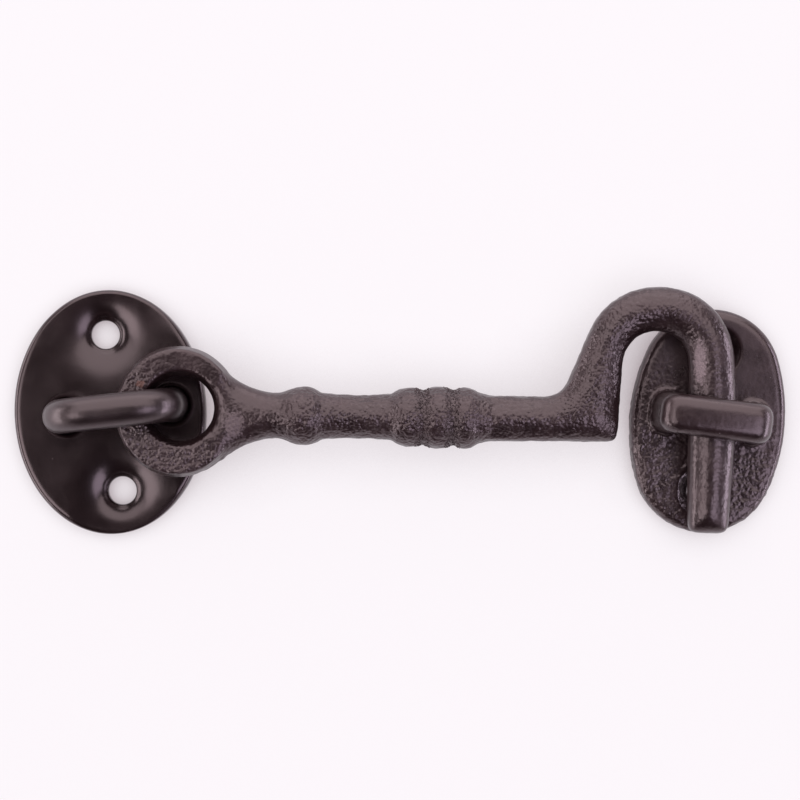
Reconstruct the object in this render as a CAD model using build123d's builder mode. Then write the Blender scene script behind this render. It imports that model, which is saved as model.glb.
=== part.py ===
from build123d import *

import os
from math import atan2, cos, radians, sin, tan

# Black iron cabin hook, sizes in millimetres and degrees.
# The origin is midway between the eye plate's two screws, on the surface both plates are fixed to.
# +X runs along the arm to the keeper, +Y is the way the hook lifts, +Z points out of the surface.

# Screw hole of both plates
SCREW_R = 2.35

# Eye plate: a pressed oval with a turned-down rim, a hollow back and two dished screw holes
EYE_W = 31.8
EYE_H = 40.6
EYE_LEAN = 1.5
EYE_OFF_X = -0.55
EYE_OFF_Y = 0.1
EYE_RISE = 3.5
EYE_SHEET = 1.8
EYE_RIM_R = 1.0
EYE_RIM_WALL = 1.6
EYE_SCREW_INSET = 7.25
DISH_R = 6.6
DISH_LIP_R = 5.0
DISH_SLOPE = 30.0
DISH_LAND = 0.6

# Eye staple: a bent round bar through the eye plate, peened over behind it
ROD_D = 5.6
STAPLE_LEAN = 6.2
STAPLE_OFF_X = 1.0
STAPLE_OFF_Y = 0.36
STAPLE_BEND_R = 5.0
LEG_INSET = 7.15
LEG_CLEAR = 0.2
LEG_MOUTH = 0.5
PEEN_SPREAD = 0.7
PEEN_RECESS = 0.3

# Hook arm, ring end
RING_W = 20.4
RING_H = 21.4
RING_OFF_X = -0.46
RING_OFF_Y = -0.54
RING_T = 6.4
BORE_R = 5.3
BORE_DRAFT = 15.0
BORE_ROUND = 0.5
BORE_GAP = 0.25
BORE_BEARING = -14.0
RING_CLEAR = 0.6
ARM_CLEAR = 0.35
ARM_LEAN = -0.75

# Hook arm, turned shaft: lengths along the arm in order from the bore, and radii
AXIS_DROP = 0.99
FLARE_START = 6.6
FLARE_L = 9.0
FLARE_HALF_W = 7.55
FLARE_HALF_T = 3.0
FLARE_EASE = 1.75
FLARE_SECTIONS = 4
NECK_L = 1.0
NECK_R = 3.8
COLLAR_RISE_L = 2.7
COLLAR_FALL_L = 3.6
COLLAR_R = 4.9
WAIST_L = 11.5
WAIST_R = 3.55
WAIST_END_R = 3.8
BEAD_A_L = 5.2
BEAD_A_R = 4.85
BEAD_B_L = 4.9
BEAD_B_R = 5.1
BEAD_C_L = 3.7
BEAD_C_R = 5.0
GROOVE_R = 4.35
BEAD_END_L = 2.2
STEM_L = 11.6
STEM_R = 3.74

# Hook arm, hook end: heights are across the arm from the bore
HOOK_T = 7.5
BEVEL_IN = 2.5
BEVEL_DEEP = 1.7
ELBOW_R = 3.6
ELBOW_TO_HEEL = 9.4
UPRIGHT_RUN = 7.5
THROAT_LEAN = 1.0
THROAT_W = 10.4
THROAT_TOP = 13.56
THROAT_LEFT_R = 5.4
THROAT_FLAT = 0.35
CROWN_T = 7.45
CROWN_FLAT = 0.7
SHANK_W = 8.2
SHANK_LEAN = 1.3
SHANK_BACK_R = 40.0
TIP_DROP = 19.45
TIP_TAPER = 1.3

# Keeper: a cast oval plate and the bridge that the hook drops behind, in one piece
KEEPER_H = 37.1
KEEPER_LEDGE = 3.0
KEEPER_SHOULDER = 1.3
KEEPER_LEAN = -5.0
KEEPER_GAP = 0.6
KEEPER_EDGE_R = 1.6
KEEPER_SCREW_INSET = 6.85
KEEPER_SINK_R = 4.3
BRIDGE_LEAN = -7.4
BRIDGE_OFF_Y = 0.5
BRIDGE_BAND = 6.6
BRIDGE_LEG_T = 3.8
BRIDGE_BAR_T = 3.5
BRIDGE_TAPER = 0.85
BRIDGE_CROWN = 0.5
BRIDGE_ROUND = 2.2
BRIDGE_SHOULDER_R = 3.0
BRIDGE_WINDOW_R = 1.6
BRIDGE_WINDOW_ROUND = 0.5
BRIDGE_FOOT_R = 1.0
BRIDGE_CLEAR = 0.3
BRIDGE_SIDE_CLEAR = 1.9

# Castings: how far their walls lean in from the parting line, which stays as a narrow upright band
DRAFT_IN = 0.6
PARTING_BAND = 0.8

# How far a cutting shape runs past the faces it cuts
CUT_PAST = 2.0


def heading(degrees):
    """The direction on the surface that leans this far up from +X."""
    return Vector(cos(radians(degrees)), sin(radians(degrees)), 0)


def leaning_plane(point, degrees):
    """A plane on the surface at a point, turned by its lean."""
    return Plane(origin=(point.X, point.Y, 0), x_dir=heading(degrees), z_dir=(0, 0, 1))


def upright_plane(point):
    """A plane that stands on the surface at a point, with its Y out of the surface."""
    return Plane(origin=(point.X, point.Y, 0), x_dir=(1, 0, 0), z_dir=(0, -1, 0))


def upright_axis(point):
    """The line out of the surface at a point."""
    return Axis((point.X, point.Y, 0), (0, 0, 1))


# Places on the eye plate
eye_hollow = EYE_RISE - EYE_SHEET
screw_line = heading(STAPLE_LEAN + 90) * (EYE_H / 2 - EYE_SCREW_INSET)
eye_screws = [screw_line, -screw_line]
rod_r = ROD_D / 2
leg_line = heading(STAPLE_LEAN) * (EYE_W / 2 - LEG_INSET)
staple_centre = Vector(STAPLE_OFF_X, STAPLE_OFF_Y, 0)
legs = [staple_centre - leg_line, staple_centre + leg_line]

# The arm turns about its ring's bore, which hangs on the staple's right leg.
# It lies high enough for the collar to swing over the eye plate.
arm_z = EYE_RISE + COLLAR_R + ARM_CLEAR
pivot = legs[1] + heading(BORE_BEARING) * (BORE_R - rod_r - BORE_GAP)
arm_origin = Vector(pivot.X, pivot.Y, arm_z)
arm_plane = Plane(origin=arm_origin, x_dir=heading(ARM_LEAN), z_dir=(0, 0, 1))
arm_side_plane = Plane(origin=arm_origin, x_dir=arm_plane.x_dir, z_dir=-arm_plane.y_dir)
staple_axis_z = arm_z + RING_T / 2 + RING_CLEAR + rod_r

# Places along the arm
flare_end = FLARE_START + FLARE_L
collar_start = flare_end + NECK_L
collar_top = collar_start + COLLAR_RISE_L
waist_start = collar_top + COLLAR_FALL_L
bead_a_start = waist_start + WAIST_L
bead_b_start = bead_a_start + BEAD_A_L
bead_c_start = bead_b_start + BEAD_B_L
bead_c_end = bead_c_start + BEAD_C_L
stem_start = bead_c_end + BEAD_END_L
elbow = stem_start + STEM_L
heel = elbow + ELBOW_TO_HEEL
throat_left = heel + THROAT_LEAN
throat_right = throat_left + THROAT_W
shank_back = throat_right + SHANK_W
shank_middle = throat_right + SHANK_W / 2

# Heights and places of the keeper, which follow the hook
keeper_t = arm_z - HOOK_T / 2 - KEEPER_GAP
bridge_under = arm_z + HOOK_T / 2 + BRIDGE_CLEAR
bridge_top = bridge_under + BRIDGE_BAR_T
half_window = SHANK_W / 2 + BRIDGE_SIDE_CLEAR
half_foot = half_window + BRIDGE_LEG_T
half_bar = half_foot - BRIDGE_TAPER
keeper_half_w = half_foot + KEEPER_LEDGE
keeper_half_h = KEEPER_H / 2
keeper_plane = leaning_plane(arm_plane.from_local_coords((shank_middle, -AXIS_DROP, 0)), KEEPER_LEAN)
bridge_ground = leaning_plane(keeper_plane.from_local_coords((0, BRIDGE_OFF_Y, 0)), BRIDGE_LEAN)
bridge_plane = Plane(origin=bridge_ground.origin, x_dir=bridge_ground.x_dir, z_dir=-bridge_ground.y_dir)
keeper_screw = keeper_half_h - KEEPER_SCREW_INSET

# Eye plate
eye_outline_plane = leaning_plane(Vector(EYE_OFF_X, EYE_OFF_Y), EYE_LEAN)
leg_hole_r = rod_r + LEG_CLEAR
with BuildPart() as eye_plate:
    with BuildSketch(eye_outline_plane):
        Ellipse(EYE_W / 2, EYE_H / 2)
    extrude(amount=EYE_RISE)
    fillet(eye_plate.faces().sort_by(Axis.Z)[-1].edges(), EYE_RIM_R)
    with BuildSketch(eye_outline_plane):
        Ellipse(EYE_W / 2 - EYE_RIM_WALL, EYE_H / 2 - EYE_RIM_WALL)
    extrude(amount=eye_hollow, mode=Mode.SUBTRACT)
    for screw in eye_screws:
        # the back of the dish, pressed down level with the rim
        with BuildSketch(upright_plane(screw)):
            with BuildLine():
                Polyline(
                    (0, 0),
                    (SCREW_R + DISH_LAND, 0),
                    (DISH_R, eye_hollow),
                    (0, eye_hollow),
                    close=True,
                )
            make_face()
        revolve(axis=upright_axis(screw))
    for screw in eye_screws:
        # the dish, with a rolled lip, and the screw hole at its bottom
        with BuildSketch(upright_plane(screw)):
            with BuildLine():
                lip = JernArc((DISH_R, EYE_RISE), (-1, 0), DISH_LIP_R, DISH_SLOPE)
                lip_end = lip @ 1
                hole_top = lip_end.Y - (lip_end.X - SCREW_R) * tan(radians(DISH_SLOPE))
                Polyline(
                    lip_end,
                    (SCREW_R, hole_top),
                    (SCREW_R, -CUT_PAST),
                    (0, -CUT_PAST),
                    (0, EYE_RISE + CUT_PAST),
                    (DISH_R, EYE_RISE + CUT_PAST),
                    (DISH_R, EYE_RISE),
                )
            make_face()
        revolve(axis=upright_axis(screw), mode=Mode.SUBTRACT)
    for leg in legs:
        # the punched hole for a staple leg, with its dented mouth
        with BuildSketch(upright_plane(leg)):
            with BuildLine():
                Polyline(
                    (0, -CUT_PAST),
                    (leg_hole_r, -CUT_PAST),
                    (leg_hole_r, EYE_RISE - LEG_MOUTH),
                    (leg_hole_r + LEG_MOUTH, EYE_RISE),
                    (leg_hole_r + LEG_MOUTH, EYE_RISE + CUT_PAST),
                    (0, EYE_RISE + CUT_PAST),
                    close=True,
                )
            make_face()
        revolve(axis=upright_axis(leg), mode=Mode.SUBTRACT)

# Eye staple: the bar, then the two peened heads against the back of the sheet
peen_t = eye_hollow - PEEN_RECESS
with BuildPart() as eye_staple:
    with BuildLine():
        FilletPolyline(
            (legs[0].X, legs[0].Y, eye_hollow),
            (legs[0].X, legs[0].Y, staple_axis_z),
            (legs[1].X, legs[1].Y, staple_axis_z),
            (legs[1].X, legs[1].Y, eye_hollow),
            radius=STAPLE_BEND_R,
        )
    with BuildSketch(Plane.XY.offset(eye_hollow)):
        with Locations((legs[0].X, legs[0].Y)):
            Circle(rod_r)
    sweep()
    with BuildSketch(Plane.XY.offset(PEEN_RECESS)):
        with Locations(*[(leg.X, leg.Y) for leg in legs]):
            Circle(rod_r + PEEN_SPREAD)
    extrude(amount=peen_t)
    fillet(eye_staple.faces().group_by(Axis.Z)[0].edges(), peen_t / 2)

# Shaft of the hook arm: neck, collar, waist and three beads, turned about one axis
shaft_start = arm_plane.from_local_coords((0, -AXIS_DROP, 0))
shaft_plane = Plane(origin=shaft_start, x_dir=arm_plane.x_dir, z_dir=(0, 0, 1))
with BuildPart() as shaft:
    with BuildSketch(shaft_plane):
        with BuildLine():
            Polyline((stem_start, 0), (flare_end, 0), (flare_end, NECK_R), (collar_start, NECK_R))
            ThreePointArc(
                (collar_start, NECK_R),
                (collar_top, COLLAR_R),
                (waist_start, WAIST_END_R),
            )
            ThreePointArc(
                (waist_start, WAIST_END_R),
                (waist_start + WAIST_L / 2, WAIST_R),
                (bead_a_start, WAIST_END_R),
            )
            ThreePointArc(
                (bead_a_start, WAIST_END_R),
                (bead_a_start + BEAD_A_L / 2, BEAD_A_R),
                (bead_b_start, GROOVE_R),
            )
            ThreePointArc(
                (bead_b_start, GROOVE_R),
                (bead_b_start + BEAD_B_L / 2, BEAD_B_R),
                (bead_c_start, GROOVE_R),
            )
            ThreePointArc(
                (bead_c_start, GROOVE_R),
                (bead_c_start + BEAD_C_L / 2, BEAD_C_R),
                (bead_c_end, GROOVE_R),
            )
            Polyline((bead_c_end, GROOVE_R), (stem_start, STEM_R), (stem_start, 0))
        make_face()
    revolve(axis=Axis(shaft_start, arm_plane.x_dir))

# Flare of the neck: it leaves the ring wide and nearly as flat as the ring is, and comes round by the collar
with BuildPart() as flare:
    for section in range(FLARE_SECTIONS):
        gone = section / (FLARE_SECTIONS - 1)
        flare_w = NECK_R + (FLARE_HALF_W - NECK_R) * (1 - gone) ** FLARE_EASE
        flare_t = NECK_R + (FLARE_HALF_T - NECK_R) * (1 - gone)
        section_middle = shaft_plane.from_local_coords((FLARE_START + FLARE_L * gone, 0, 0))
        with BuildSketch(Plane(origin=section_middle, x_dir=arm_plane.y_dir, z_dir=arm_plane.x_dir)):
            Ellipse(flare_w, flare_t)
    loft()

# Hook end of the arm: stem, heel, upright, crown, shank and tip, bevelled to a ridge front and back.
# The crown and the throat are as round as their straight sides leave room for.
stem_top = STEM_R - AXIS_DROP
stem_bottom = -STEM_R - AXIS_DROP
crown_y = THROAT_TOP + CROWN_T
crown_left = elbow + UPRIGHT_RUN
crown_right = shank_back - SHANK_LEAN
throat_turn = atan2(THROAT_TOP - stem_bottom, THROAT_LEAN)
throat_right_r = THROAT_W - THROAT_FLAT - THROAT_LEFT_R * tan(throat_turn / 2)
left_turn = atan2(crown_y - stem_top, UPRIGHT_RUN)
right_turn = atan2(crown_y, SHANK_LEAN)
crown_r = (crown_right - crown_left - CROWN_FLAT) / (tan(left_turn / 2) + tan(right_turn / 2))
hook_corners = [
    (bead_c_end, stem_bottom, 0),
    (heel, stem_bottom, 0),
    (throat_left, THROAT_TOP, THROAT_LEFT_R),
    (throat_right, THROAT_TOP, throat_right_r),
    (throat_right, -TIP_DROP, 0),
    (shank_back - TIP_TAPER, -TIP_DROP, 0),
    (shank_back, 0, SHANK_BACK_R),
    (crown_right, crown_y, crown_r),
    (crown_left, crown_y, crown_r),
    (elbow, stem_top, ELBOW_R),
    (bead_c_end, stem_top, 0),
]
with BuildPart() as hook_end:
    with BuildSketch(arm_plane):
        with BuildLine():
            FilletPolyline(
                [(x, y) for x, y, corner_r in hook_corners],
                radius=[corner_r for x, y, corner_r in hook_corners],
                close=True,
            )
        make_face()
    extrude(amount=HOOK_T / 2, both=True)
    for side in (-1, 0):
        wall_face = hook_end.faces().sort_by(Axis.Z)[side]
        chamfer(wall_face.edges(), DRAFT_IN, HOOK_T / 2 - PARTING_BAND / 2, reference=wall_face)
        ridge_face = hook_end.faces().sort_by(Axis.Z)[side]
        chamfer(ridge_face.edges(), BEVEL_IN, BEVEL_DEEP, reference=ridge_face)

# Hook arm: ring, shaft and hook end cast as one.
# The bore has draft from both faces, so it is narrowest at mid-thickness, and its mouths are rounded.
half_ring = RING_T / 2
draft = radians(BORE_DRAFT)
draft_rise = half_ring - BORE_ROUND + BORE_ROUND * sin(draft)
mouth_r = BORE_R + draft_rise * tan(draft) + BORE_ROUND * cos(draft)
with BuildPart() as hook_arm:
    with BuildSketch(arm_plane):
        with Locations((RING_OFF_X, RING_OFF_Y)):
            Ellipse(RING_W / 2, RING_H / 2)
    extrude(amount=half_ring, both=True)
    for side in (-1, 0):
        ring_face = hook_arm.faces().sort_by(Axis.Z)[side]
        chamfer(ring_face.edges(), DRAFT_IN, half_ring - PARTING_BAND / 2, reference=ring_face)
    add(flare.part)
    add(shaft.part)
    add(hook_end.part)
    with BuildSketch(arm_side_plane):
        with BuildLine():
            back_mouth = JernArc((mouth_r, -half_ring), (-1, 0), BORE_ROUND, BORE_DRAFT - 90)
            front_mouth = JernArc((mouth_r, half_ring), (-1, 0), BORE_ROUND, 90 - BORE_DRAFT)
            Polyline(back_mouth @ 1, (BORE_R, 0), front_mouth @ 1)
            Polyline(
                (mouth_r, half_ring),
                (mouth_r, half_ring + CUT_PAST),
                (0, half_ring + CUT_PAST),
                (0, -half_ring - CUT_PAST),
                (mouth_r, -half_ring - CUT_PAST),
                (mouth_r, -half_ring),
            )
        make_face()
    revolve(axis=upright_axis(pivot), mode=Mode.SUBTRACT)


def on_bridge_outside(edge):
    """Whether an edge of the bridge is on its outer side, away from the window."""
    middle = bridge_plane.to_local_coords(edge.center())
    return abs(middle.X) > half_window + BRIDGE_LEG_T / 4 or middle.Y > bridge_under + BRIDGE_BAR_T / 2


# Bridge of the keeper: a band with leaning legs, a crowned bar and rounded edges
shoulder_z = bridge_top - BRIDGE_CROWN
with BuildPart() as bridge:
    with BuildSketch(bridge_plane) as bridge_face:
        with BuildLine():
            ThreePointArc((half_bar, shoulder_z), (0, bridge_top), (-half_bar, shoulder_z))
            Polyline(
                (-half_bar, shoulder_z),
                (-half_foot, 0),
                (-half_window, 0),
                (-half_window, bridge_under),
                (half_window, bridge_under),
                (half_window, 0),
                (half_foot, 0),
                (half_bar, shoulder_z),
            )
        make_face()
        fillet(bridge_face.vertices().group_by(Axis.Y)[-1], BRIDGE_SHOULDER_R)
        window_corners = bridge_face.vertices().filter_by_position(
            Axis.Y, bridge_under - BRIDGE_CLEAR, bridge_under + BRIDGE_CLEAR
        )
        fillet(window_corners, BRIDGE_WINDOW_R)
    extrude(amount=BRIDGE_BAND / 2, both=True)
    for across in (bridge_ground.y_dir, -bridge_ground.y_dir):
        for outside, edge_r in ((False, BRIDGE_WINDOW_ROUND), (True, BRIDGE_ROUND)):
            band_face = bridge.faces().sort_by(Axis(bridge_ground.origin, across))[-1]
            band_edges = band_face.edges().filter_by_position(Axis.Z, BRIDGE_CLEAR, bridge_top)
            fillet([edge for edge in band_edges if on_bridge_outside(edge) == outside], edge_r)

# Keeper: a four-arc oval plate with the bridge on it, and two countersunk screw holes
end_r = keeper_half_w - KEEPER_SHOULDER
side_r = (keeper_half_w**2 + keeper_half_h**2 - KEEPER_H * end_r) / (2 * KEEPER_SHOULDER)
end_centre = Vector(0, keeper_half_h - end_r)
side_centre = Vector(keeper_half_w - side_r, 0)
join = end_centre + (end_centre - side_centre).normalized() * end_r
with BuildPart() as keeper_plate:
    with BuildSketch(keeper_plane):
        with BuildLine():
            ThreePointArc((join.X, -join.Y), (keeper_half_w, 0), (join.X, join.Y))
            ThreePointArc((join.X, join.Y), (0, keeper_half_h), (-join.X, join.Y))
            ThreePointArc((-join.X, join.Y), (-keeper_half_w, 0), (-join.X, -join.Y))
            ThreePointArc((-join.X, -join.Y), (0, -keeper_half_h), (join.X, -join.Y))
        make_face()
    extrude(amount=keeper_t)
    fillet(keeper_plate.faces().sort_by(Axis.Z)[-1].edges(), KEEPER_EDGE_R)
    add(bridge.part)
    foot_edges = keeper_plate.edges(Select.LAST).filter_by_position(
        Axis.Z, keeper_t - BRIDGE_CLEAR, keeper_t + BRIDGE_CLEAR
    )
    fillet(foot_edges, BRIDGE_FOOT_R)
    keeper_screws = [keeper_plane.from_local_coords((0, y, keeper_t)) for y in (keeper_screw, -keeper_screw)]
    with Locations(*keeper_screws):
        CounterSinkHole(SCREW_R, KEEPER_SINK_R)

# One file per piece
os.makedirs("parts", exist_ok=True)
pieces = {
    "eye_plate": eye_plate,
    "eye_staple": eye_staple,
    "hook_arm": hook_arm,
    "keeper_plate": keeper_plate,
}
for name, piece in pieces.items():
    piece.part.label = name
    export_step(piece.part, f"parts/{name}.step")
print("hook turns about", pivot, "keeper stands at", keeper_plane.origin)
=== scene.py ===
from math import cos, pi, radians, sin

import bmesh
import bpy
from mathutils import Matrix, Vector


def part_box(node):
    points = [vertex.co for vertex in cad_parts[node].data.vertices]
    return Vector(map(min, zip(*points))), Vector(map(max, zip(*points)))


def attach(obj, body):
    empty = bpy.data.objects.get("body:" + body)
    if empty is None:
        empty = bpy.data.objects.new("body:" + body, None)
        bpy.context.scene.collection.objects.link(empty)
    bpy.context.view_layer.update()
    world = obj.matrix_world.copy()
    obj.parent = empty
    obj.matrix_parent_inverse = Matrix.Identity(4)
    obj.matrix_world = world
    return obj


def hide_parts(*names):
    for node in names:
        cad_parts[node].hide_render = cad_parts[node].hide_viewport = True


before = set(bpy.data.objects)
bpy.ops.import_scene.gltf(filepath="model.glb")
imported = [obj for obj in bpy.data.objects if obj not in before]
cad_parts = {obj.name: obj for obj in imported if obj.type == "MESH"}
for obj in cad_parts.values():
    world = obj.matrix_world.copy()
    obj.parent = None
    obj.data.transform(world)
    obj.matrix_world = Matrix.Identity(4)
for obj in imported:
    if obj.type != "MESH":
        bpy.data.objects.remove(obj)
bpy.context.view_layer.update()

# Lengths are in metres, and in millimetres in the tables of skins, grit and looks
MM = 0.001

# The view, with the camera over the middle of the hook and +Y up the picture
CAMERA_HEIGHT = 375 * MM
CAMERA_X = 47.65 * MM
CAMERA_Y = 2.1 * MM
VIEW_WIDTH = 133.9 * MM
SENSOR_WIDTH = 36.0
CLIP_NEAR = 0.01
CLIP_FAR = 20.0

# The white sheet, flat under the hook and swept up far round it
FLOOR_DROP = 0.05 * MM
FLOOR_RADIUS = 2.6
FLOOR_STEPS = 96
SWEEP_RADIUS = 0.4
SWEEP_TOP = 0.9
SWEEP_STEPS = 8
FLOOR_COLOUR = (0.975, 0.93, 0.962, 1.0)
FLOOR_GLOW = 0.9
FLOOR_GLOW_IN_GLOSS = 0.5
FLOOR_SHADE = (0.30, 0.23, 0.25, 1.0)
FLOOR_SHADE_REACH = 16 * MM
FLOOR_SHADE_SAMPLES = 8
FLOOR_OPEN = 0.82

# The lights, with the key light as a tent of two panels over the side that the hook lifts to
STUDIO_CENTRE = Vector((48 * MM, 0, 8 * MM))
DARK_ROOM = (0.026, 0.020, 0.022, 1.0)
UPWARD = Vector((0, 0, 1))
BEYOND = Vector((0, 1, 0))
KEY_NEAR = 0.12
KEY_FAR = 0.9
KEY_TOP = 0.6
KEY_WIDTH = 1.4
KEY_BRIGHTNESS = 1.88
KEY_COLOUR = (1.0, 0.98, 0.985)
WARM = (1.0, 0.98, 0.99)
COOL = (0.87, 0.85, 1.0)

# Small lights at both ends of the hook, with their angles in degrees
FILL_LIGHTS = {
    "right_fill": dict(
        azimuth=-30, from_upright=36, distance=0.7, width=0.45, height=0.42, brightness=3.0, colour=COOL
    ),
    "left_fill": dict(
        azimuth=197, from_upright=37, distance=0.7, width=0.4, height=0.32, brightness=3.2, colour=WARM
    ),
    "right_strip": dict(
        azimuth=-5, from_upright=85, distance=0.6, width=0.7, height=0.12, brightness=7.0, colour=COOL
    ),
    "left_strip": dict(
        azimuth=185, from_upright=82, distance=0.6, width=0.8, height=0.18, brightness=4.0, colour=WARM
    ),
}

# Paint colours, as linear values
PLATE_DEEP = (0.0060, 0.0027, 0.0030, 1.0)
PLATE_LIGHT = (0.0092, 0.0042, 0.0047, 1.0)
CAST_DEEP = (0.0100, 0.0042, 0.0048, 1.0)
CAST_LIGHT = (0.0165, 0.0072, 0.0082, 1.0)
SHEEN_TINT = (1.0, 0.78, 0.815, 1.0)
PAINT_IOR = 1.6
DUST = (0.16, 0.12, 0.125, 1.0)
RUST = (0.080, 0.028, 0.018, 1.0)
CHIP = (0.13, 0.095, 0.10, 1.0)
# A paler patch painted on the arm's neck beside the ring
PALE_NECK_PATCH = (0.085, 0.060, 0.065, 1.0)
# Painted highlight: a pale streak of colour where a facet of the hook's bend would catch the light
PAINTED_FACET_HIGHLIGHT = (0.17, 0.125, 0.135, 1.0)

# Looks of the pieces: colour, fineness of the grain, sheen, specks of dust and spots at chosen places
CAST_LOOK = dict(
    colours=(CAST_DEEP, CAST_LIGHT), fineness=1400.0, cloud=260.0, gloss=0.7,
    speck_fineness=900.0, speck_size=0.08,
)
PLATE_LOOK = dict(
    colours=(PLATE_DEEP, PLATE_LIGHT), fineness=1500.0,
    speck_fineness=700.0, speck_size=0.06,
)
ARM_SPOTS = (
    dict(centre=(5.6, 4.7, 11.9), reach=(0.8, 0.7, 0.8), colour=RUST),
    # Painted highlight on a facet of the hook's bend, standing in for a glint of light
    dict(centre=(96.2, 8.2, 12.0), reach=(1.2, 4.2, 2.5), colour=PAINTED_FACET_HIGHLIGHT),
    # A paler patch painted on the neck beside the ring
    dict(centre=(20.7, -2.0, 12.3), reach=(2.0, 2.8, 2.5), colour=PALE_NECK_PATCH),
)
PLATE_SPOTS = (dict(centre=(3.1, -19.9, 2.0), reach=(1.0, 0.7, 1.2), colour=CHIP),)
LOOKS = {
    "hook_arm": dict(
        CAST_LOOK, bump_depth=0.125, roughness=(0.28, 0.34), speck_share=0.05, spots=ARM_SPOTS
    ),
    "keeper_plate": dict(
        CAST_LOOK, bump_depth=0.07, roughness=(0.27, 0.33), speck_share=0.04, spots=()
    ),
    "eye_plate": dict(
        PLATE_LOOK, cloud=160.0, gloss=0.68,
        bump_depth=0.002, roughness=(0.21, 0.26), speck_share=0.05, spots=PLATE_SPOTS,
    ),
    "eye_staple": dict(
        PLATE_LOOK, cloud=200.0, gloss=0.72,
        bump_depth=0.003, roughness=(0.31, 0.37), speck_share=0.04, spots=(),
    ),
}

# Grain of the paint, its sizes as shares of the look's fineness
PAINT_LUMP_DETAIL = 1.5
GRANULE_FINENESS = 1.2
GRANULE_BLEND = 0.3
GRANULE_FALL = -1.2
PAINT_PIT_FINENESS = 0.36
PAINT_PIT_EDGE = 0.13
PAINT_PIT_BOTTOM = 0.03
PAINT_PIT_RARE = 0.55
PAINT_PIT_FULL = 1.0
CLOUD_DETAIL = 3.0
CLOUD_LOW = 0.3
CLOUD_HIGH = 0.7

# Spots in the paint, ragged by noise and whole inside the core
RAGGED_FINENESS = 2500.0
RAGGED_DETAIL = 3.0
RAGGED_SHARE = 1.6
SPOT_EDGE = 1.0
SPOT_CORE = 0.6
SPOT_ROUGHNESS = 0.25

# Skins of the pieces
# Each mesh is made even at its voxel size, smoothed, and softened more near two places: within their
# reach, past the edge of a hole and inside a share of the oval that fills the piece's box.
# Lumps, grain and pits fade from the roughest place to the smoothest, and are calmer near a third place.
ANYWHERE = (9.0, 9.0)
SMOOTH_METAL = dict(
    grain_size=1.5, grain_depth=0.0, pit_spacing=2.0, pit_depth=0.0,
    rough_at=(60.0, 0.0, 0.0), smooth_at=(80.0, 0.0, 0.0), calm_at=(0.0, 0.0, 9.0), calm_reach=0.5,
)
SKINS = {
    "hook_arm": dict(
        body="hook", slot="cast_black_paint", voxel=0.268, smooth=4,
        soften_at=((118.0, 0.0, 8.0), (25.0, -0.5, 11.0)), soften_reach=(56.0, 9.5),
        soften_past=0.0, soften_within=ANYWHERE, soften_steps=58,
        lump_size=2.2, lump_depth=0.07, grain_size=1.3, grain_depth=0.13, pit_spacing=2.4, pit_depth=0.08,
        rough_at=(52.0, 6.0, 12.0), smooth_at=(112.0, -19.0, 12.0),
        calm_at=(18.0, 7.0, 11.0), calm_reach=18.0,
    ),
    "keeper_plate": dict(
        body="plates", slot="cast_black_paint", voxel=0.21, smooth=5,
        soften_at=((98.8, -1.4, 16.0), (98.8, -1.4, 16.0)), soften_reach=(16.0, 16.0),
        soften_past=0.0, soften_within=ANYWHERE, soften_steps=8,
        lump_size=1.6, lump_depth=0.11, grain_size=0.9, grain_depth=0.10, pit_spacing=2.6, pit_depth=0.05,
        rough_at=(94.5, -8.0, 4.4), smooth_at=(100.0, 2.0, 13.0),
        calm_at=(100.0, 10.0, 4.0), calm_reach=9.0,
    ),
    "eye_plate": dict(
        SMOOTH_METAL, body="plates", slot="pressed_black_paint", voxel=0.2, smooth=12,
        soften_at=((-1.3, 12.95, 3.0), (1.3, -12.95, 3.0)), soften_reach=(12.0, 9.5),
        soften_past=3.1, soften_within=(0.97, 1.0), soften_steps=420,
        lump_size=6.0, lump_depth=0.03,
    ),
    "eye_staple": dict(
        SMOOTH_METAL, body="plates", slot="bar_black_paint", voxel=0.16, smooth=10,
        soften_at=((0.0, 0.0, 9.0), (0.0, 0.0, 9.0)), soften_reach=(40.0, 40.0),
        soften_past=0.0, soften_within=ANYWHERE, soften_steps=4,
        lump_size=5.0, lump_depth=0.05,
    ),
}
SKIN_LENGTHS = (
    "Lump size", "Lump depth", "Grain size", "Grain depth", "Pit spacing", "Pit depth", "Calm reach"
)
SKIN_PLACES = ("Rough at", "Smooth at", "Calm at")
BOTH = ("First", "Second")
MERGE_GAP = 0.002 * MM
SMOOTH_FACTOR = 0.5

# Shares and limits in the tree that makes the skins
HALF_WAY = (0.5, 0.5, 0.5)
FROM_ABOVE = (1.0, 1.0, 0.0)
SOFT_CORE = 0.6
SOFT_OVAL_CORE = 0.9
NOISE_LOW = 0.25
NOISE_HIGH = 0.75
NOISE_MIDDLE = 0.5
LUMP_DETAIL = 2.0
GRAIN_DETAIL = 1.0
PIT_EDGE = 0.30
PIT_BOTTOM = 0.12
LEAST_ROUGH = 0.12
CALM_SHARE = 0.3
CALM_CORE = 0.35

# The share of the bump on each point, which the paint reads: none on steep walls, all on level faces
ROUGH_SHARE = "rough_share"
STEEP = 0.1
LEVEL = 0.6

# Grit left by the casting sand in the two grooves between the beads
GRITTY_NODE = "hook_arm"
GROOVES_X = (51.3, 56.2)
GROOVE_REACH = 1.15
GRIT_SIZE = 0.15
GRIT_LEAST = 0.45
GRIT_MOST = 1.0
GRIT_DIVISIONS = 1
GRIT_PER_SQUARE_MM = 11.0

# Places of the colour sockets on a mix node and of the number sockets on a random value node
MIX_SHARE = 0
MIX_FIRST = 6
MIX_SECOND = 7
MIX_RESULT = 2
RANDOM_LEAST = 2
RANDOM_MOST = 3
RANDOM_RESULT = 1


# Nodes

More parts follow.
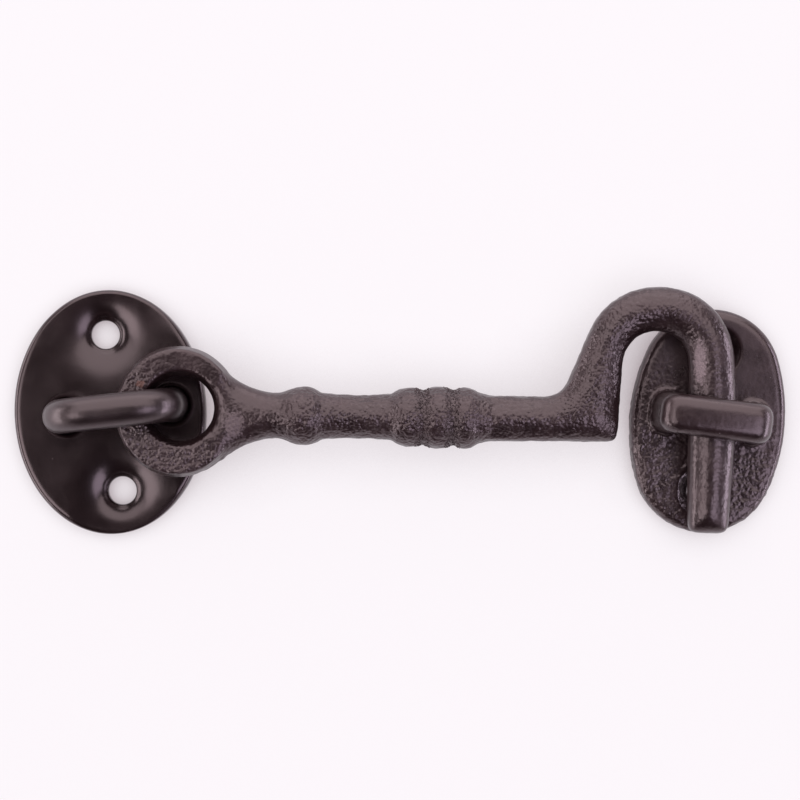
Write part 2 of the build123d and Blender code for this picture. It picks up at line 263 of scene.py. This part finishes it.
def add_node(tree, kind, sockets=None, **settings):
    """A node with its settings made, and each socket either set to a value or joined to another socket."""
    node = tree.nodes.new(kind)
    for name, value in settings.items():
        setattr(node, name, value)
    for name, value in (sockets or {}).items():
        if isinstance(value, bpy.types.NodeSocket):
            tree.links.new(value, node.inputs[name])
        else:
            node.inputs[name].default_value = value
    return node


def math_node(tree, operation, *values, clamp=False):
    """The result of one sum on values or sockets."""
    sockets = dict(enumerate(values))
    return add_node(tree, "ShaderNodeMath", sockets, operation=operation, use_clamp=clamp).outputs[0]


def vector_node(tree, operation, *values):
    """The vector that one sum on vectors gives."""
    sockets = dict(enumerate(values))
    return add_node(tree, "ShaderNodeVectorMath", sockets, operation=operation).outputs["Vector"]


def measure_node(tree, operation, *values):
    """The number that one sum on vectors gives."""
    sockets = dict(enumerate(values))
    return add_node(tree, "ShaderNodeVectorMath", sockets, operation=operation).outputs["Value"]


def mix_colour(tree, share, first, second):
    """The first colour going over to the second as the share goes from 0 to 1."""
    sockets = {MIX_SHARE: share, MIX_FIRST: first, MIX_SECOND: second}
    return add_node(tree, "ShaderNodeMix", sockets, data_type="RGBA").outputs[MIX_RESULT]


def ramp(tree, value, low, high):
    """A value spread so that low becomes 0 and high becomes 1, smoothly."""
    sockets = {"Value": value, "From Min": low, "From Max": high}
    return add_node(tree, "ShaderNodeMapRange", sockets, interpolation_type="SMOOTHSTEP").outputs[0]


def new_group(name, kind, inputs, outputs):
    """An empty node group with its named sockets, and its two end nodes."""
    tree = bpy.data.node_groups.new(name, kind)
    for in_out, sockets in (("INPUT", inputs), ("OUTPUT", outputs)):
        for socket_name, socket_kind in sockets:
            tree.interface.new_socket(socket_name, in_out=in_out, socket_type="NodeSocket" + socket_kind)
    return tree, tree.nodes.new("NodeGroupInput"), tree.nodes.new("NodeGroupOutput")


def finish_tree(tree, made, geometry, material):
    """The end of a tree: everything a real mesh with its paint on."""
    real = add_node(tree, "GeometryNodeRealizeInstances", {"Geometry": geometry})
    painted = add_node(tree, "GeometryNodeSetMaterial", {"Geometry": real.outputs[0], "Material": material})
    tree.links.new(painted.outputs[0], made.inputs["Geometry"])


def in_metres(point):
    """A point or a reach from one of the tables, in metres."""
    return tuple(length * MM for length in point)


# Skins of the pieces, as trees on their meshes

def oval_share(tree, given, place):
    """How far out a point lies, from above, in the oval that fills the piece's box: 1 on the oval."""
    highest = given.outputs["Highest corner"]
    middle = vector_node(tree, "ADD", given.outputs["Lowest corner"], highest)
    middle = vector_node(tree, "MULTIPLY", middle, HALF_WAY)
    half = vector_node(tree, "SUBTRACT", highest, middle)
    out = vector_node(tree, "DIVIDE", vector_node(tree, "SUBTRACT", place, middle), half)
    return measure_node(tree, "LENGTH", vector_node(tree, "MULTIPLY", out, FROM_ABOVE))


def soft_share(tree, given, place, oval, which):
    """How far a point is softened for lying near one of the two soft places."""
    away = measure_node(tree, "DISTANCE", place, given.outputs[which + " soft place"])
    reach = given.outputs[which + " soft reach"]
    near = ramp(tree, away, reach, math_node(tree, "MULTIPLY", reach, SOFT_CORE))
    past = math_node(tree, "GREATER_THAN", away, given.outputs["Soft past"])
    within = given.outputs[which + " soft within"]
    inner = ramp(tree, oval, within, math_node(tree, "MULTIPLY", within, SOFT_OVAL_CORE))
    return math_node(tree, "MULTIPLY", math_node(tree, "MULTIPLY", near, past), inner)


def softened(tree, given, place):
    """The surface with its edges worn soft near the two soft places."""
    oval = oval_share(tree, given, place)
    first, second = (soft_share(tree, given, place, oval, which) for which in BOTH)
    share = math_node(tree, "MAXIMUM", first, second)
    blurred = add_node(
        tree, "GeometryNodeBlurAttribute",
        {"Iterations": given.outputs["Soften steps"], "Weight": share},
        data_type="FLOAT_VECTOR",
    )
    blur_in = next(s for s in blurred.inputs if s.name == "Value" and s.enabled)
    tree.links.new(place, blur_in)
    blur_out = next(s for s in blurred.outputs if s.enabled)
    sockets = {"Geometry": given.outputs["Geometry"], "Position": blur_out}
    return add_node(tree, "GeometryNodeSetPosition", sockets).outputs[0]


def waves(tree, given, place, what, detail):
    """Noise to both sides of 0, with the size and depth that the inputs for it give."""
    fineness = math_node(tree, "DIVIDE", 1.0, given.outputs[what + " size"])
    sockets = {"Vector": place, "W": given.outputs["Seed"], "Scale": fineness, "Detail": detail}
    value = add_node(tree, "ShaderNodeTexNoise", sockets, noise_dimensions="4D").outputs["Fac"]
    value = math_node(tree, "SUBTRACT", ramp(tree, value, NOISE_LOW, NOISE_HIGH), NOISE_MIDDLE)
    return math_node(tree, "MULTIPLY", value, given.outputs[what + " depth"])


def relief(tree, given, place):
    """Height of the casting: wavy lumps and sand grain, less the pits."""
    lumps = waves(tree, given, place, "Lump", LUMP_DETAIL)
    grain = waves(tree, given, place, "Grain", GRAIN_DETAIL)
    fineness = math_node(tree, "DIVIDE", 1.0, given.outputs["Pit spacing"])
    sockets = {"Vector": place, "W": given.outputs["Seed"], "Scale": fineness}
    pits = add_node(tree, "ShaderNodeTexVoronoi", sockets, voronoi_dimensions="4D").outputs["Distance"]
    pits = math_node(tree, "MULTIPLY", ramp(tree, pits, PIT_EDGE, PIT_BOTTOM), given.outputs["Pit depth"])
    return math_node(tree, "SUBTRACT", math_node(tree, "ADD", lumps, grain), pits)


def fading(tree, given, place):
    """How much of the relief is left: less towards the smoothest place and round the calm one."""
    rough_at = given.outputs["Rough at"]
    way = vector_node(tree, "SUBTRACT", given.outputs["Smooth at"], rough_at)
    gone = measure_node(tree, "DOT_PRODUCT", vector_node(tree, "SUBTRACT", place, rough_at), way)
    whole = measure_node(tree, "DOT_PRODUCT", way, way)
    fade = add_node(
        tree, "ShaderNodeMapRange",
        {"Value": math_node(tree, "DIVIDE", gone, whole), "To Min": 1.0, "To Max": LEAST_ROUGH},
        interpolation_type="SMOOTHSTEP",
    ).outputs[0]
    away = measure_node(tree, "DISTANCE", place, given.outputs["Calm at"])
    reach = given.outputs["Calm reach"]
    outside = ramp(tree, away, math_node(tree, "MULTIPLY", reach, CALM_CORE), reach)
    calm = math_node(tree, "MULTIPLY_ADD", outside, 1 - CALM_SHARE, CALM_SHARE)
    return math_node(tree, "MULTIPLY", fade, calm)


def cast_skin_tree():
    """Edges worn soft, then the relief of a casting, held inside the piece's own box."""
    tree, given, made = new_group(
        "cast skin", "GeometryNodeTree",
        [
            ("Geometry", "Geometry"),
            ("First soft place", "Vector"),
            ("First soft reach", "Float"),
            ("First soft within", "Float"),
            ("Second soft place", "Vector"),
            ("Second soft reach", "Float"),
            ("Second soft within", "Float"),
            ("Soft past", "Float"),
            ("Soften steps", "Int"),
            ("Lump size", "Float"),
            ("Lump depth", "Float"),
            ("Grain size", "Float"),
            ("Grain depth", "Float"),
            ("Pit spacing", "Float"),
            ("Pit depth", "Float"),
            ("Rough at", "Vector"),
            ("Smooth at", "Vector"),
            ("Calm at", "Vector"),
            ("Calm reach", "Float"),
            ("Lowest corner", "Vector"),
            ("Highest corner", "Vector"),
            ("Seed", "Float"),
            ("Finish", "Material"),
        ],
        [("Geometry", "Geometry")],
    )
    place = add_node(tree, "GeometryNodeInputPosition").outputs[0]
    outward = add_node(tree, "GeometryNodeInputNormal").outputs[0]
    soft = softened(tree, given, place)
    fade = fading(tree, given, place)
    height = math_node(tree, "MULTIPLY", relief(tree, given, place), fade)
    lift = add_node(tree, "ShaderNodeVectorMath", {0: outward, "Scale": height}, operation="SCALE")
    moved = vector_node(tree, "ADD", place, lift.outputs["Vector"])
    moved = vector_node(tree, "MAXIMUM", moved, given.outputs["Lowest corner"])
    moved = vector_node(tree, "MINIMUM", moved, given.outputs["Highest corner"])
    level = add_node(tree, "ShaderNodeSeparateXYZ", {0: outward}).outputs["Z"]
    level = ramp(tree, math_node(tree, "ABSOLUTE", level), STEEP, LEVEL)
    marked = add_node(
        tree, "GeometryNodeStoreNamedAttribute",
        {"Geometry": soft, "Name": ROUGH_SHARE, "Value": math_node(tree, "MULTIPLY", fade, level)},
        data_type="FLOAT", domain="POINT",
    )
    skin = add_node(tree, "GeometryNodeSetPosition", {"Geometry": marked.outputs[0], "Position": moved})
    finish_tree(tree, made, skin.outputs[0], given.outputs["Finish"])
    return tree


def groove_grit_tree():
    """Grains of burnt-on sand, scattered over the surface in two grooves and half sunk in the paint."""
    tree, given, made = new_group(
        "groove grit", "GeometryNodeTree",
        [
            ("Geometry", "Geometry"),
            ("First groove", "Float"),
            ("Second groove", "Float"),
            ("Groove reach", "Float"),
            ("Grit size", "Float"),
            ("Grit per area", "Float"),
            ("Seed", "Int"),
            ("Finish", "Material"),
        ],
        [("Geometry", "Geometry")],
    )
    place = add_node(tree, "GeometryNodeInputPosition").outputs[0]
    along = add_node(tree, "ShaderNodeSeparateXYZ", {0: place}).outputs["X"]
    to_first, to_second = (
        math_node(tree, "ABSOLUTE", math_node(tree, "SUBTRACT", along, given.outputs[which + " groove"]))
        for which in BOTH
    )
    nearest = math_node(tree, "MINIMUM", to_first, to_second)
    inside = math_node(tree, "LESS_THAN", nearest, given.outputs["Groove reach"])
    points = add_node(
        tree, "GeometryNodeDistributePointsOnFaces",
        {
            "Mesh": given.outputs["Geometry"],
            "Selection": inside,
            "Density": given.outputs["Grit per area"],
            "Seed": given.outputs["Seed"],
        },
        distribute_method="RANDOM",
    )
    grain = add_node(
        tree, "GeometryNodeMeshIcoSphere",
        {"Radius": given.outputs["Grit size"], "Subdivisions": GRIT_DIVISIONS},
    )
    sizes = add_node(
        tree, "FunctionNodeRandomValue",
        {RANDOM_LEAST: GRIT_LEAST, RANDOM_MOST: GRIT_MOST, "Seed": given.outputs["Seed"]},
    )
    grains = add_node(
        tree, "GeometryNodeInstanceOnPoints",
        {
            "Points": points.outputs["Points"],
            "Instance": grain.outputs["Mesh"],
            "Rotation": points.outputs["Rotation"],
            "Scale": sizes.outputs[RANDOM_RESULT],
        },
    )
    smooth = add_node(tree, "GeometryNodeSetShadeSmooth", {"Geometry": grains.outputs[0]})
    joined = add_node(tree, "GeometryNodeJoinGeometry")
    tree.links.new(smooth.outputs[0], joined.inputs[0])
    tree.links.new(given.outputs["Geometry"], joined.inputs[0])
    finish_tree(tree, made, joined.outputs[0], given.outputs["Finish"])
    return tree


# Pieces

def merged_copy(node):
    """The mesh of a CAD piece with its loose triangles joined."""
    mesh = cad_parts[node].data.copy()
    shape = bmesh.new()
    shape.from_mesh(mesh)
    bmesh.ops.remove_doubles(shape, verts=shape.verts, dist=MERGE_GAP)
    shape.to_mesh(mesh)
    shape.free()
    mesh.materials.clear()
    return mesh


def add_tree(block, tree, values):
    """A tree on a piece, with its named inputs set."""
    modifier = block.modifiers.new(tree.name, "NODES")
    modifier.node_group = tree
    sockets = {item.name: item.identifier for item in tree.interface.items_tree if item.in_out == "INPUT"}
    for name, value in values.items():
        modifier[sockets[name]] = value


def in_table(name):
    """The name that an input of the cast skin has in the table of skins."""
    return name.lower().replace(" ", "_")


def skin_values(skin, lowest, highest):
    """The inputs of the cast skin for a piece, from its row in the table and the corners of its box."""
    values = {name: skin[in_table(name)] * MM for name in SKIN_LENGTHS}
    for name in SKIN_PLACES:
        values[name] = in_metres(skin[in_table(name)])
    soft_places = zip(BOTH, skin["soften_at"], skin["soften_reach"], skin["soften_within"])
    for which, place, reach, within in soft_places:
        values[which + " soft place"] = in_metres(place)
        values[which + " soft reach"] = reach * MM
        values[which + " soft within"] = within
    values["Soft past"] = skin["soften_past"] * MM
    values["Soften steps"] = skin["soften_steps"]
    values["Lowest corner"] = tuple(lowest)
    values["Highest corner"] = tuple(highest)
    return values


def grit_values():
    """The inputs of the groove grit."""
    first, second = GROOVES_X
    return {
        "First groove": first * MM,
        "Second groove": second * MM,
        "Groove reach": GROOVE_REACH * MM,
        "Grit size": GRIT_SIZE * MM,
        "Grit per area": GRIT_PER_SQUARE_MM / MM**2,
    }


def skinned_piece(node, trees, finish, seed):
    """A piece that stands for a CAD node, with an even mesh and a cast or pressed skin."""
    skin = SKINS[node]
    block = bpy.data.objects.new(node + "_block", merged_copy(node))
    bpy.context.scene.collection.objects.link(block)
    even = block.modifiers.new("even mesh", "REMESH")
    even.mode = "VOXEL"
    even.voxel_size = skin["voxel"] * MM
    even.use_smooth_shade = True
    soften = block.modifiers.new("soften", "SMOOTH")
    soften.factor = SMOOTH_FACTOR
    soften.iterations = skin["smooth"]
    lowest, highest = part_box(node)
    values = skin_values(skin, lowest, highest)
    add_tree(block, trees["cast skin"], dict(values, Seed=float(seed), Finish=finish))
    if node == GRITTY_NODE:
        add_tree(block, trees["groove grit"], dict(grit_values(), Seed=seed, Finish=finish))
    depsgraph = bpy.context.evaluated_depsgraph_get()
    mesh = bpy.data.meshes.new_from_object(block.evaluated_get(depsgraph))
    bpy.data.objects.remove(block)
    piece = bpy.data.objects.new(node + "_skin", mesh)
    bpy.context.scene.collection.objects.link(piece)
    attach(piece, skin["body"])
    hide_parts(node)


# Paint

def paint_grain_group():
    """Height of the paint: close lumps, round granules and a few pits, and a slow cloud of thick paint."""
    tree, given, made = new_group(
        "paint grain", "ShaderNodeTree",
        [("Lump fineness", "Float"), ("Cloud fineness", "Float")],
        [("Height", "Float"), ("Cloud", "Float")],
    )
    place = add_node(tree, "ShaderNodeTexCoord").outputs["Object"]
    fineness = given.outputs["Lump fineness"]
    lumps = add_node(
        tree, "ShaderNodeTexNoise", {"Vector": place, "Scale": fineness, "Detail": PAINT_LUMP_DETAIL}
    )
    granule_fineness = math_node(tree, "MULTIPLY", fineness, GRANULE_FINENESS)
    granules = add_node(
        tree, "ShaderNodeTexVoronoi",
        {"Vector": place, "Scale": granule_fineness, "Smoothness": GRANULE_BLEND},
        feature="SMOOTH_F1",
    )
    pit_fineness = math_node(tree, "MULTIPLY", fineness, PAINT_PIT_FINENESS)
    cells = add_node(tree, "ShaderNodeTexVoronoi", {"Vector": place, "Scale": pit_fineness})
    pick = add_node(tree, "ShaderNodeSeparateColor", {"Color": cells.outputs["Color"]}).outputs[0]
    pits = ramp(tree, cells.outputs["Distance"], PAINT_PIT_EDGE, PAINT_PIT_BOTTOM)
    pits = math_node(tree, "MULTIPLY", pits, ramp(tree, pick, PAINT_PIT_RARE, PAINT_PIT_FULL))
    height = math_node(
        tree, "MULTIPLY_ADD", granules.outputs["Distance"], GRANULE_FALL, lumps.outputs["Fac"]
    )
    height = math_node(tree, "SUBTRACT", height, pits)
    cloud = add_node(
        tree, "ShaderNodeTexNoise",
        {"Vector": place, "Scale": given.outputs["Cloud fineness"], "Detail": CLOUD_DETAIL},
    )
    tree.links.new(height, made.inputs["Height"])
    tree.links.new(ramp(tree, cloud.outputs["Fac"], CLOUD_LOW, CLOUD_HIGH), made.inputs["Cloud"])
    return tree


def speck_group():
    """Scattered specks of dust and thin paint."""
    tree, given, made = new_group(
        "specks", "ShaderNodeTree",
        [("Fineness", "Float"), ("Size", "Float"), ("Share", "Float")],
        [("Mask", "Float")],
    )
    place = add_node(tree, "ShaderNodeTexCoord").outputs["Object"]
    dots = add_node(tree, "ShaderNodeTexVoronoi", {"Vector": place, "Scale": given.outputs["Fineness"]})
    near = math_node(tree, "LESS_THAN", dots.outputs["Distance"], given.outputs["Size"])
    pick = add_node(tree, "ShaderNodeSeparateColor", {"Color": dots.outputs["Color"]})
    few = math_node(tree, "LESS_THAN", pick.outputs[0], given.outputs["Share"])
    tree.links.new(math_node(tree, "MULTIPLY", near, few), made.inputs["Mask"])
    return tree


def spot_group():
    """A ragged spot at one place on a piece, as wide each way as its reach."""
    tree, given, made = new_group(
        "placed spot", "ShaderNodeTree",
        [("Centre", "Vector"), ("Reach", "Vector")],
        [("Mask", "Float")],
    )
    place = add_node(tree, "ShaderNodeTexCoord").outputs["Object"]
    away = vector_node(tree, "SUBTRACT", place, given.outputs["Centre"])
    away = measure_node(tree, "LENGTH", vector_node(tree, "DIVIDE", away, given.outputs["Reach"]))
    ragged = add_node(
        tree, "ShaderNodeTexNoise",
        {"Vector": place, "Scale": RAGGED_FINENESS, "Detail": RAGGED_DETAIL},
    )
    ragged = math_node(tree, "SUBTRACT", ragged.outputs["Fac"], NOISE_MIDDLE)
    edge = math_node(tree, "ADD", away, math_node(tree, "MULTIPLY", ragged, RAGGED_SHARE))
    tree.links.new(ramp(tree, edge, SPOT_EDGE, SPOT_CORE), made.inputs["Mask"])
    return tree


def group_node(tree, group, **values):
    """A node group placed in a material with its own values."""
    node = add_node(tree, "ShaderNodeGroup", node_tree=group)
    for name, value in values.items():
        node.inputs[name.replace("_", " ").capitalize()].default_value = value
    return node


def paint(name, groups, look):
    """Satin black paint over metal, with its grain, dust and any spots laid out by the look."""
    material = bpy.data.materials.new(name)
    material.use_nodes = True
    tree = material.node_tree
    surface = tree.nodes["Principled BSDF"]
    grain = group_node(
        tree, groups["grain"],
        lump_fineness=look["fineness"], cloud_fineness=look["cloud"],
    )
    specks = group_node(
        tree, groups["specks"],
        fineness=look["speck_fineness"], size=look["speck_size"], share=look["speck_share"],
    )
    deep, light = look["colours"]
    colour = mix_colour(tree, grain.outputs["Cloud"], deep, light)
    colour = mix_colour(tree, specks.outputs["Mask"], colour, DUST)
    rough_low, rough_high = look["roughness"]
    rough = math_node(tree, "MULTIPLY_ADD", grain.outputs["Cloud"], rough_high - rough_low, rough_low)
    share = add_node(tree, "ShaderNodeAttribute", attribute_name=ROUGH_SHARE).outputs["Fac"]
    for spot in look["spots"]:
        placed = group_node(
            tree, groups["spot"], centre=in_metres(spot["centre"]), reach=in_metres(spot["reach"])
        )
        mask = placed.outputs["Mask"]
        colour = mix_colour(tree, mask, colour, spot["colour"])
        rough = math_node(tree, "MULTIPLY_ADD", mask, SPOT_ROUGHNESS, rough)
        share = math_node(tree, "MAXIMUM", share, mask)
    tree.links.new(colour, surface.inputs["Base Color"])
    tree.links.new(rough, surface.inputs["Roughness"])
    surface.inputs["IOR"].default_value = PAINT_IOR
    surface.inputs["Specular IOR Level"].default_value = look["gloss"]
    surface.inputs["Specular Tint"].default_value = SHEEN_TINT
    bump = add_node(
        tree, "ShaderNodeBump",
        {"Height": grain.outputs["Height"], "Strength": share, "Distance": look["bump_depth"] * MM},
    )
    tree.links.new(bump.outputs[0], surface.inputs["Normal"])
    return material


# Studio

def sheet_material():
    """White paper that glows to the eye, and darkens where the hook hides the sky from it."""
    material = bpy.data.materials.new("white sheet")
    material.use_nodes = True
    tree = material.node_tree
    tree.nodes.remove(tree.nodes["Principled BSDF"])
    lit = add_node(tree, "ShaderNodeBsdfDiffuse", {"Color": FLOOR_COLOUR})
    open_sky = add_node(
        tree, "ShaderNodeAmbientOcclusion", {"Distance": FLOOR_SHADE_REACH}, samples=FLOOR_SHADE_SAMPLES
    )
    open_share = math_node(tree, "DIVIDE", open_sky.outputs["AO"], FLOOR_OPEN, clamp=True)
    sheet_colour = mix_colour(tree, open_share, FLOOR_SHADE, FLOOR_COLOUR)
    glow = add_node(tree, "ShaderNodeEmission", {"Color": sheet_colour})
    path = add_node(tree, "ShaderNodeLightPath")
    through = math_node(tree, "MAXIMUM", path.outputs["Is Camera Ray"], path.outputs["Is Transmission Ray"])
    mirrored = math_node(tree, "MULTIPLY", path.outputs["Is Glossy Ray"], FLOOR_GLOW_IN_GLOSS)
    share = math_node(tree, "MAXIMUM", math_node(tree, "MULTIPLY", through, FLOOR_GLOW), mirrored)
    both = add_node(tree, "ShaderNodeMixShader", {0: share, 1: lit.outputs[0], 2: glow.outputs[0]})
    tree.links.new(both.outputs[0], tree.nodes["Material Output"].inputs["Surface"])
    return material


def studio_floor():
    """A white sheet that lies under the hook and sweeps up far round it."""
    material = sheet_material()
    profile = [(0.0, 0.0)]
    for step in range(SWEEP_STEPS + 1):
        turn = pi / 2 * step / SWEEP_STEPS
        profile.append((FLOOR_RADIUS + SWEEP_RADIUS * sin(turn), SWEEP_RADIUS * (1 - cos(turn))))
    profile.append((FLOOR_RADIUS + SWEEP_RADIUS, SWEEP_TOP))
    shape = bmesh.new()
    rings = []
    for radius, height in profile:
        ring = []
        for step in range(FLOOR_STEPS):
            turn = 2 * pi * step / FLOOR_STEPS
            point = (STUDIO_CENTRE.x + radius * cos(turn), radius * sin(turn), height - FLOOR_DROP)
            ring.append(shape.verts.new(point))
        rings.append(ring)
    for inner, outer in zip(rings, rings[1:]):
        for step in range(FLOOR_STEPS):
            after = (step + 1) % FLOOR_STEPS
            shape.faces.new((inner[step], outer[step], outer[after], inner[after]))
    bmesh.ops.remove_doubles(shape, verts=shape.verts, dist=MERGE_GAP)
    mesh = bpy.data.meshes.new("white_sheet")
    shape.to_mesh(mesh)
    shape.free()
    mesh.polygons.foreach_set("use_smooth", [True] * len(mesh.polygons))
    mesh.materials.append(material)
    floor = bpy.data.objects.new("white_sheet", mesh)
    bpy.context.scene.collection.objects.link(floor)


def light_panel(name, centre, away, width, height, brightness, colour):
    """A soft light panel that faces against the way given, as bright to the eye at any size."""
    light = bpy.data.lights.new(name, "AREA")
    light.shape = "RECTANGLE"
    light.size = width
    light.size_y = height
    light.energy = brightness * pi * width * height
    light.color = colour
    lamp = bpy.data.objects.new(name, light)
    lamp.location = centre
    lamp.rotation_mode = "QUATERNION"
    lamp.rotation_quaternion = away.to_track_quat("Z", "Y")
    lamp.visible_camera = False
    bpy.context.scene.collection.objects.link(lamp)


def fill_light(name, azimuth, from_upright, distance, width, height, brightness, colour):
    """A small soft light that faces the hook: azimuth is from +X round to +Y."""
    around = radians(azimuth)
    down = radians(from_upright)
    away = Vector((cos(around) * sin(down), sin(around) * sin(down), cos(down)))
    light_panel(name, STUDIO_CENTRE + away * distance, away, width, height, brightness, colour)


def studio_lights():
    """A tent of light beyond the hook, small lights at both its ends, and a dark room round them."""
    world = bpy.data.worlds.new("dark room")
    world.use_nodes = True
    world.node_tree.nodes["Background"].inputs["Color"].default_value = DARK_ROOM
    bpy.context.scene.world = world
    key_depth = KEY_FAR - KEY_NEAR
    roof_centre = Vector((STUDIO_CENTRE.x, (KEY_NEAR + KEY_FAR) / 2, KEY_TOP))
    light_panel("key_roof", roof_centre, UPWARD, KEY_WIDTH, key_depth, KEY_BRIGHTNESS, KEY_COLOUR)
    wall_centre = Vector((STUDIO_CENTRE.x, KEY_FAR, KEY_TOP / 2))
    light_panel("key_wall", wall_centre, BEYOND, KEY_WIDTH, KEY_TOP, KEY_BRIGHTNESS, KEY_COLOUR)
    for name, fill in FILL_LIGHTS.items():
        fill_light(name, **fill)


def camera():
    """The camera over the hook, looking straight down."""
    lens = bpy.data.cameras.new("camera")
    lens.sensor_width = SENSOR_WIDTH
    lens.lens = SENSOR_WIDTH * CAMERA_HEIGHT / VIEW_WIDTH
    lens.clip_start = CLIP_NEAR
    lens.clip_end = CLIP_FAR
    eye = bpy.data.objects.new("camera", lens)
    eye.location = (CAMERA_X, CAMERA_Y, CAMERA_HEIGHT)
    bpy.context.scene.collection.objects.link(eye)
    bpy.context.scene.camera = eye


# The scene

bpy.context.scene.view_settings.view_transform = "Standard"
paint_groups = {"grain": paint_grain_group(), "specks": speck_group(), "spot": spot_group()}
skin_trees = {"cast skin": cast_skin_tree(), "groove grit": groove_grit_tree()}
for seed, node in enumerate(SKINS):
    skinned_piece(node, skin_trees, paint(node + " paint", paint_groups, LOOKS[node]), seed)
studio_floor()
studio_lights()
camera()
